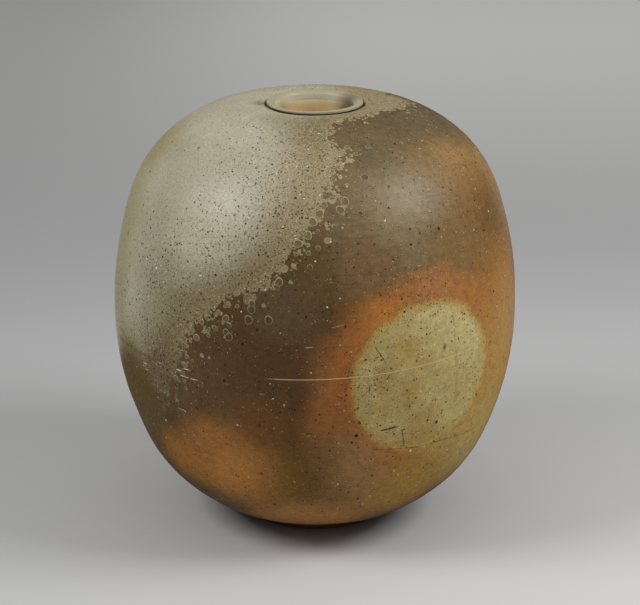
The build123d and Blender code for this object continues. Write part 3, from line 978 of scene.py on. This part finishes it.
def stroke(tree, place, start, end, width, strength):
    """strength on a thin line from start to end, width mm wide at its middle and fading at its sides."""
    length = (end - start).length
    before = add(tree, "VectorMath", {0: place, 1: start}, operation="DISTANCE").outputs["Value"]
    after = add(tree, "VectorMath", {0: place, 1: end}, operation="DISTANCE").outputs["Value"]
    both = add(tree, "Math", {0: before, 1: after}, operation="ADD")
    outer = math.hypot(length, width * stroke_outer)
    inner = math.hypot(length, width * stroke_inner)
    return add(tree, "MapRange", {"Value": both, "From Min": outer, "From Max": inner, "To Max": strength})


shaken = stirred(tree, position, size=3.0, reach=0.6, detail=1.0)
broken = add(tree, "TexNoise", {"Vector": position, "Scale": 1 / broken_size, "Detail": 2.0})
broken = add(tree, "MapRange", {"Value": broken, "From Min": 0.38, "From Max": 0.52, "To Min": 0.5})
for marks, colour in mark_kinds:
    mask = 0.0
    for start, end, width, strength in marks:
        steps = 2 + int((on_wall(*end) - on_wall(*start)).length / stroke_span)
        path = [on_wall(*place) for place in np.linspace(start, end, steps)]
        for one, other in zip(path, path[1:]):
            line = stroke(tree, shaken, one, other, width, strength)
            mask = add(tree, "Math", {0: mask, 1: line}, operation="MAXIMUM")
    mask = add(tree, "Math", {0: mask, 1: broken}, operation="MULTIPLY")
    surface = add(tree, "Mix", {"Factor": mask, "A": surface, "B": linear(colour)}, data_type="RGBA")

level = add(tree, "VectorMath", {0: position, 1: scratch_normal}, operation="DOT_PRODUCT")
off_line = add(tree, "Math", {0: level.outputs["Value"], 1: scratch_offset}, operation="SUBTRACT")
off_line = add(tree, "Math", {0: off_line}, operation="ABSOLUTE")
scratch = {"Value": off_line, "From Min": scratch_outer, "From Max": scratch_inner}
scratch = add(tree, "MapRange", {**scratch, "To Max": scratch_strength})
across = add(tree, "SeparateXYZ", {0: position})
begun = {"Value": across.outputs["X"], "From Min": scratch_from, "From Max": scratch_from + scratch_begin}
ended = {"Value": across.outputs["X"], "From Min": scratch_to, "From Max": scratch_to - scratch_end}
in_front = add(tree, "Math", {0: across.outputs["Y"], 1: 0.0}, operation="LESS_THAN")
for limit in (add(tree, "MapRange", begun), add(tree, "MapRange", ended), in_front):
    scratch = add(tree, "Math", {0: scratch, 1: limit}, operation="MULTIPLY")
surface = add(tree, "Mix", {"Factor": scratch, "A": surface, "B": linear(scratch_pale)}, data_type="RGBA")
print(sum(len(marks) for marks, colour in mark_kinds), "cracks and scrapes, one long scratch")

# %% [markdown]
# Last come roughness and the relief that is too fine for vertices: grit, the fine lines of the trimming
# tool, pits at the largest specks and the rims of the drops. On bare clay the low lines of the tool are also
# painted darker, as painted shade. Bare stoneware of this firing has a dull shine, ash a little more, and the
# disc, which met no flame, less. Low on the wall it is dry and has hardly any.

# %% Stoneware: roughness and fine relief
clay_roughness, ash_roughness, disc_roughness, dry_roughness = 0.43, 0.40, 0.52, 0.85
dry_from, dry_below, dry_share = 165.0, 95.0, 0.85  # mm up: the wall is dry below the second of these
dry_spot, dry_reach, dry_soft = (-64, 122), 42, 24  # the last thin ash on the left stayed dry
relief_grit = 1.4  # mm
comb_length, comb_width = 60.0, 1.6  # mm
furrow_shade_depth = 0.12  # how much painted shade darkens the low lines of the tool
grit_height = 0.10  # mm

grit = add(tree, "TexNoise", {"Vector": position, "Scale": 1 / relief_grit, "Detail": 3.0})
combing = (1 / comb_length, 1 / comb_length, 1 / comb_width)
combed = add(tree, "VectorMath", {0: position, 1: combing}, operation="MULTIPLY")
combed = add(tree, "TexNoise", {"Vector": combed, "Scale": 1.0, "Detail": 2.0})
furrow_shade = add(tree, "MapRange", {"Value": combed, "From Min": 0.42, "From Max": 0.3, "To Max": furrow_shade_depth})
bare = add(tree, "Math", {0: cover, 1: disc}, operation="MAXIMUM")
bare = add(tree, "Math", {0: 1.0, 1: bare}, operation="SUBTRACT")
furrow_shade = add(tree, "Math", {0: furrow_shade, 1: bare}, operation="MULTIPLY")
surface = add(tree, "Mix", {"Factor": furrow_shade, "A": surface, "B": linear(crack_and_shade_dark)}, data_type="RGBA")
height = add(tree, "Math", {0: grit, 1: grit_height}, operation="MULTIPLY")
relief_parts = (  # pattern and its height in mm
    (combed, 0.10),
    (largest, -0.2),
    (rim, 0.10),
    (cover, 0.06),
    (scratch, -0.08),
    (white, 0.08),
)
for part, rise in relief_parts:
    height = add(tree, "Math", {0: part, 1: rise, 2: height}, operation="MULTIPLY_ADD")
bump = add(tree, "Bump", {"Height": height, "Distance": MM, "Strength": 1.0})
rough = add(tree, "Mix", {"Factor": cover, "A": clay_roughness, "B": ash_roughness}, data_type="FLOAT")
rough = add(tree, "Mix", {"Factor": disc, "A": rough, "B": disc_roughness}, data_type="FLOAT")
dry = patch(tree, swept, on_wall(*dry_spot), dry_reach, dry_soft)
low = add(tree, "SeparateXYZ", {0: swept}).outputs["Z"]
low = {"Value": low, "From Min": dry_from, "From Max": dry_below, "To Max": dry_share}
low = add(tree, "MapRange", low, interpolation_type="SMOOTHSTEP")
dry = add(tree, "Math", {0: dry, 1: low}, operation="MAXIMUM")
rough = add(tree, "Mix", {"Factor": dry, "A": rough, "B": dry_roughness}, data_type="FLOAT")
rough = add(tree, "Mix", {"Factor": iron, "A": rough, "B": dry_roughness}, data_type="FLOAT")
plug(tree, fired_shader, {"Base Color": surface, "Roughness": rough, "Normal": bump})
plug(tree, fired_shader, {"IOR": 1.5, "Specular IOR Level": dull_shine})
print(len(tree.nodes), "nodes in the fired surface")

# %% [markdown]
# The inside was closed to ash and flame. It is bare stoneware, rough from the fingers, in an even toasted
# brown. The foot is bare too, so both share this finish.

# %% Bare stoneware inside
inside, tree, shader, position = new_material("bare_stoneware_inside")
toasted_size = 30.0  # mm
inside_grit_height = 0.15  # mm
mottle = add(tree, "TexNoise", {"Vector": position, "Scale": 1 / toasted_size, "Detail": 4.0})
toasted = {"Factor": mottle, "A": linear("#5f4229"), "B": linear("#8f6740")}
colour = add(tree, "Mix", toasted, data_type="RGBA")
dots = specks(tree, position, spacing=5.0, size=0.8, share=0.4)
colour = add(tree, "Mix", {"Factor": dots, "A": colour, "B": linear("#2f2419")}, data_type="RGBA")
grit = add(tree, "TexNoise", {"Vector": position, "Scale": 1 / relief_grit, "Detail": 3.0})
bump = add(tree, "Bump", {"Height": grit, "Distance": inside_grit_height * MM})
plug(tree, shader, {"Base Color": colour, "Normal": bump, "Roughness": 0.7})
print(inside.name)

# %% [markdown]
# Flame was drawn through the mouth and flushed the throat. It is pale at the top, under the last of the ash,
# and goes through bright orange to brown below. Height alone gives that, with a little mottling. The throat
# lies in shade, so these colours are lighter than the clay, partly painted light, and two patches of painted
# shade darken its sides.

# %% Flame-flushed throat
# partly painted light: these colours are made lighter because the throat lies in shade
throat_levels = (  # from and to in mm up, and the colour above
    (294.0, 298.0, "#cf9650"),
    (297.0, 303.0, "#e0c08a"),
    (307.5, 311.0, "#e8dfbe"),
)
# painted shade on the sides of the throat, also laid over the glaze on the lip
throat_painted_shade = (  # x, y and z of the middle, reach, softness, colour
    ((25, 14, 307), 12, 8, "#54452a"),
    ((-25, 15, 303), 8, 7, "#9c845a"),
)
throat_shade_strength = 0.85
throat_grit_height = 0.1  # mm


def with_throat_shade(tree, place, colour):
    """A colour with the throat's patches of painted shade laid over it."""
    for middle, reach, soft, shade_colour in throat_painted_shade:
        share = patch(tree, place, middle, reach, soft, throat_shade_strength)
        colour = add(tree, "Mix", {"Factor": share, "A": colour, "B": linear(shade_colour)}, data_type="RGBA")
    return colour


throat, tree, shader, position = new_material("flame_flushed_stoneware_throat")
mottle = stirred(tree, position, size=9.0, reach=4.0, detail=3.0)
level = add(tree, "SeparateXYZ", {0: mottle}).outputs["Z"]
grit = add(tree, "TexNoise", {"Vector": position, "Scale": 1 / relief_grit, "Detail": 3.0})
colour = add(tree, "Mix", {"Factor": grit, "A": linear("#8a4d1c"), "B": linear("#a8642a")}, data_type="RGBA")
for low, high, above in throat_levels:
    share = add(tree, "MapRange", {"Value": level, "From Min": low, "From Max": high})
    colour = add(tree, "Mix", {"Factor": share, "A": colour, "B": linear(above)}, data_type="RGBA")
colour = with_throat_shade(tree, mottle, colour)
bump = add(tree, "Bump", {"Height": grit, "Distance": throat_grit_height * MM})
plug(tree, shader, {"Base Color": colour, "Normal": bump, "Roughness": 0.5, "Specular IOR Level": dull_shine})
print(throat.name)

# %% [markdown]
# On the lip the ash is a thin even glaze, as pale as on the shoulder and about as shiny. Inside it is painted
# paler still, partly painted light where the inside lies in shade. At the foot of the lip, in the groove, a
# band is painted black: a painted shadow. The throat's patches of painted shade lie over the glaze too.

# %% Thin ash glaze on the lip
lip_cloud_size = 9.0  # mm
# the inside of the lip is painted paler, partly painted light where it lies in shade
pale_from, pale_to = 316.8, 313.5  # mm up, between these the glaze inside the lip gets paler
lip_middle = 32.0  # mm from the axis, the inside of the lip lies within it
# the painted shadow in the groove at the foot of the lip
groove_shadow_from, groove_shadow_to = 316.3, 315.9  # mm up
groove_shadow_inner, groove_shadow_outer = 34.5, 35.0  # mm from the axis

lip, tree, shader, position = new_material("thin_ash_glaze_on_lip")
mottle = add(tree, "TexNoise", {"Vector": position, "Scale": 1 / lip_cloud_size, "Detail": 4.0})
thin_glaze = {"Factor": mottle, "A": linear("#9a9177"), "B": linear("#aea58b")}
colour = add(tree, "Mix", thin_glaze, data_type="RGBA")
level = add(tree, "SeparateXYZ", {0: position})
plan = add(tree, "CombineXYZ", {"X": level.outputs["X"], "Y": level.outputs["Y"]})
radius = add(tree, "VectorMath", {0: plan}, operation="LENGTH").outputs["Value"]
within = add(tree, "MapRange", {"Value": level.outputs["Z"], "From Min": pale_from, "From Max": pale_to})
inner = add(tree, "Math", {0: radius, 1: lip_middle}, operation="LESS_THAN")
within = add(tree, "Math", {0: within, 1: inner}, operation="MULTIPLY")
colour = add(tree, "Mix", {"Factor": within, "A": colour, "B": linear("#e6dec0")}, data_type="RGBA")
colour = with_throat_shade(tree, position, colour)
# painted shadow in the groove at the foot of the lip
low = add(tree, "MapRange", {"Value": level.outputs["Z"], "From Min": groove_shadow_from, "From Max": groove_shadow_to})
without = add(tree, "MapRange", {"Value": radius, "From Min": groove_shadow_inner, "From Max": groove_shadow_outer})
groove_shadow = add(tree, "Math", {0: low, 1: without}, operation="MULTIPLY")
colour = add(tree, "Mix", {"Factor": groove_shadow, "A": colour, "B": linear("#2c2214")}, data_type="RGBA")
plug(tree, shader, {"Base Color": colour, "Roughness": 0.42, "Specular IOR Level": dull_shine})
print(lip.name)

# %% [markdown]
# A single drop is melted ash over dark clay. It is thickest along its rim, so the rim is pale and the middle
# takes some of the clay's colour, darker further from the ash. Each vertex knows its share of the drop's
# radius and how near the ash it lies. Low on the left, where the ash is gone, the last drops are as dark as
# the clay.

# %% Melted ash drops
ring_from, ring_to = 0.72, 0.88  # shares of a drop's radius between which its pale rim begins
lost_spot, lost_reach, lost_soft = (-54, 110), 36, 14

melted, tree, shader, position = new_material("melted_ash_drop")
near = add(tree, "Attribute", attribute_name="near_ash").outputs["Fac"]
middle = add(tree, "Mix", {"Factor": near, "A": linear("#523f25"), "B": linear("#746444")}, data_type="RGBA")
edge = add(tree, "Mix", {"Factor": near, "A": linear("#8d7c58"), "B": linear("#a69774")}, data_type="RGBA")
share = add(tree, "Attribute", attribute_name="ring_share")
ring = add(tree, "MapRange", {"Value": share.outputs["Fac"], "From Min": ring_from, "From Max": ring_to})
colour = add(tree, "Mix", {"Factor": ring, "A": middle, "B": edge}, data_type="RGBA")
lost = patch(tree, position, on_wall(*lost_spot), lost_reach, lost_soft)
colour = add(tree, "Mix", {"Factor": lost, "A": colour, "B": linear("#54421f")}, data_type="RGBA")
plug(tree, shader, {"Base Color": colour, "Roughness": 0.42, "Specular IOR Level": dull_shine})
print(melted.name)

# %% [markdown]
# Feldspar grit half melts in the fire. It turns milky, satin and nearly white. The grains are so small that
# one mottled colour is enough for them.

# %% White feldspar grit
milky, tree, shader, position = new_material("white_feldspar_grit")
milky_size = 0.6  # mm
mottle = add(tree, "TexNoise", {"Vector": position, "Scale": 1 / milky_size, "Detail": 2.0})
half_melted = {"Factor": mottle, "A": linear("#cbc0a4"), "B": linear("#f3eee0")}
colour = add(tree, "Mix", half_melted, data_type="RGBA")
plug(tree, shader, {"Base Color": colour, "Roughness": 0.4})
print(milky.name)

# %% [markdown]
# The thrown pieces show the fired surface outside and bare clay inside. A face belongs to the inside where it
# is turned towards the jar's core, so one test serves all five, and the underside of the foot counts as bare.

# %% Give the pieces their materials
inward, downward = -0.2, -0.5  # how far a face has to be turned in, and down under the foot
for piece in thrown:
    piece.data.materials.append(fired)
    piece.data.materials.append(throat if piece.name.startswith("mouth_collar") else inside)
    centres = np.array([face.center for face in piece.data.polygons]) / MM
    normals = np.array([face.normal for face in piece.data.polygons])
    turned_in = np.sum(facing(centres)[0] * normals, axis=1) < inward
    beneath = (centres[:, 2] < foot_top) & (normals[:, 2] < downward)
    piece.data.polygons.foreach_set("material_index", (turned_in | beneath).astype(np.int32))
for piece, material in ((ash_glaze, fired), (lip_glaze, lip), (ash_drops, melted), (feldspar, milky)):
    piece.data.materials.append(material)

# %% [markdown]
# The jar stands on a sheet of grey paper that sweeps away behind it. A curved sweep could be modelled, but
# from a little above, a wide floor fills the picture. Slow ramps in its colour paint light and shade on it:
# the grey darkens behind the jar and lightens far back, where the lamps reach less, and it is darker on the
# left, a painted shadow.

# %% Floor of grey paper
floor_half, floor_drop = 9.0, 0.0002  # metres
corners = [(x * floor_half, y * floor_half, -floor_drop) for x, y in ((-1, -1), (1, -1), (1, 1), (-1, 1))]
floor_mesh = bpy.data.meshes.new("floor")
floor_mesh.from_pydata(corners, [], [(0, 1, 2, 3)])
floor = bpy.data.objects.new("floor", floor_mesh)
bpy.context.scene.collection.objects.link(floor)

# painted light: the grey darkens behind the jar and lightens far back, where the lamps reach less
floor_painted_light = (  # from and to in mm behind the jar, and the grey beyond
    (-250.0, 900.0, "#a9a9a9"),
    (500.0, 1900.0, "#eaeae8"),
)
# painted shadow on the left of the paper
left_shade_from, left_shade_to, left_shade_share = 120.0, -450.0, 0.6  # mm to the right, and the share of darker grey beyond

paper, tree, shader, position = new_material("matt_grey_paper")
across = add(tree, "SeparateXYZ", {0: position})
colour = linear("#c9c9c9")
for begin, end, farther in floor_painted_light:
    ramp = {"Value": across.outputs["Y"], "From Min": begin, "From Max": end}
    share = add(tree, "MapRange", ramp, interpolation_type="SMOOTHSTEP")
    colour = add(tree, "Mix", {"Factor": share, "A": colour, "B": linear(farther)}, data_type="RGBA")
ramp = {"Value": across.outputs["X"], "From Min": left_shade_from, "From Max": left_shade_to, "To Max": left_shade_share}
share = add(tree, "MapRange", ramp, interpolation_type="SMOOTHSTEP")
colour = add(tree, "Mix", {"Factor": share, "A": colour, "B": linear("#a2a2a2")}, data_type="RGBA")
plug(tree, shader, {"Base Color": colour, "Roughness": 0.9, "Specular IOR Level": 0.0})
floor_mesh.materials.append(paper)
print("floor", 2 * floor_half, "m wide")

# %% [markdown]
# Two soft boxes light the jar from both sides, a little in front and well above it, as the two broad
# highlights on the shoulder tell. A weak sky fills the shadows. It is dark near the horizon, because the
# studio walls were. The camera itself sees an even grey there instead, which adds no light to the jar.

# %% Light
box_side = 0.7  # metres
aim = (0, 0, 0.17)
boxes = (  # name, place in metres and power in watts
    ("softbox_left", (-1.15, -0.52, 1.32), 14.5),
    ("softbox_right", (1.2, -0.34, 1.27), 16.5),
)
sky_from, sky_low, sky_high = 0.1, 0.05, 0.55  # height of the horizon's haze, strength there and overhead
backdrop = 0.36  # strength of the grey that the camera sees above the floor
for name, place, power in boxes:
    data = bpy.data.lights.new(name, "AREA")
    data.size = box_side
    data.energy = power
    lamp = bpy.data.objects.new(name, data)
    lamp.location = place
    lamp.rotation_euler = (Vector(aim) - Vector(place)).to_track_quat("-Z", "Y").to_euler()
    bpy.context.scene.collection.objects.link(lamp)

world = bpy.data.worlds.new("studio")
world.use_nodes = True
tree = world.node_tree
direction = add(tree, "TexCoord")
upward = add(tree, "SeparateXYZ", {0: direction.outputs["Generated"]})
overhead = {"Value": upward.outputs["Z"], "From Min": sky_from, "To Min": sky_low, "To Max": sky_high}
dim = add(tree, "MapRange", overhead, interpolation_type="SMOOTHSTEP")
path = add(tree, "LightPath")
seen = add(tree, "Mix", {"Factor": path.outputs["Is Camera Ray"], "A": dim, "B": backdrop}, data_type="FLOAT")
plug(tree, tree.nodes["Background"], {"Color": (1, 1, 1, 1), "Strength": seen})
bpy.context.scene.world = world
bpy.context.scene.view_settings.view_transform = "Standard"
print(len(boxes), "soft boxes and a dim sky")
